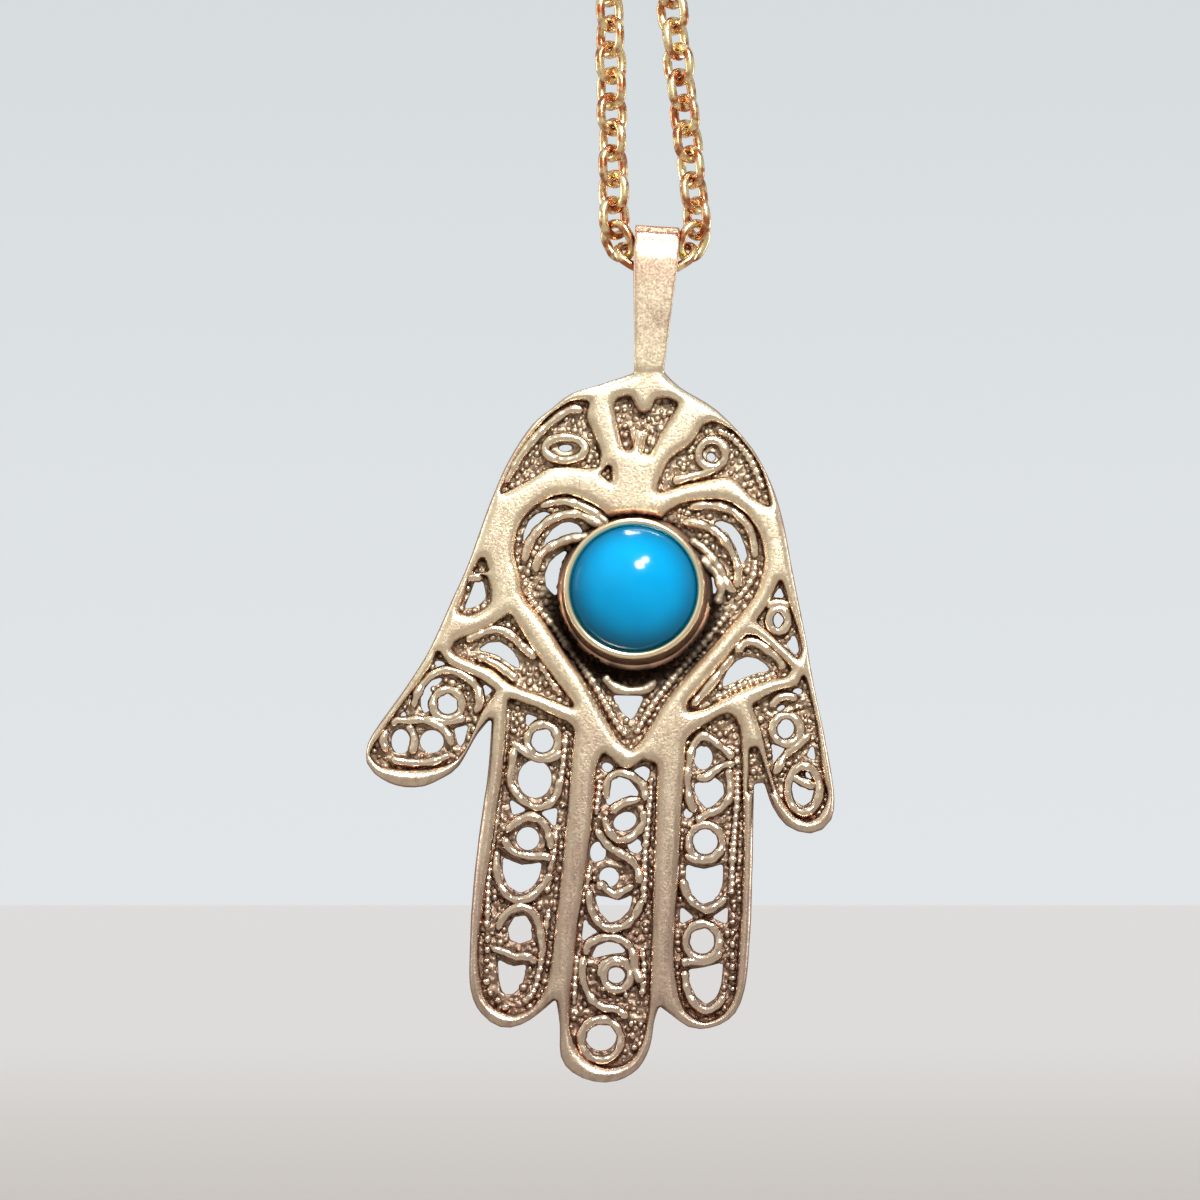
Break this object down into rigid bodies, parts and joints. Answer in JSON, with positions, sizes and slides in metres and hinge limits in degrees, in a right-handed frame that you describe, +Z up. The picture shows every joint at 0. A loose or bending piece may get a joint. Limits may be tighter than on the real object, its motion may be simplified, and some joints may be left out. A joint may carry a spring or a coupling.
{
  "type": "hamsa pendant on a cable chain",
  "caption": "Pierced open-hand pendant with a round cabochon and a strip bail, hanging on a closed cable chain with a spring ring.",
  "frame": {"origin": "middle of the pin or hook that the chain hangs over, at the centre of the chain's top bend", "axes": "+Z up along the hanging chain, +Y to the back of the hand (the wearer's side), +X to the right of someone who looks at the front"},
  "size_m": [0.0293, 0.0061, 0.2474],
  "materials": {
    "pale_gold": "satin cast, pale gold plated, darker in the recesses",
    "chain_gold": "bright rose-yellow gold plated wire",
    "turquoise": "polished cabochon"
  },
  "bodies": {
    "chain": {"chain": "chain_gold", "clasp": "chain_gold"},
    "pendant": {"hand": "pale_gold", "stone": "turquoise"}
  },
  "joints": [
    {"name": "pendant_swing", "type": "hinge", "parent": "chain", "child": "pendant", "pos_m": [0.00095, 0, -0.19317], "axis": [0.9981, 0, -0.061], "range_deg": [-90, 90]}
  ]
}
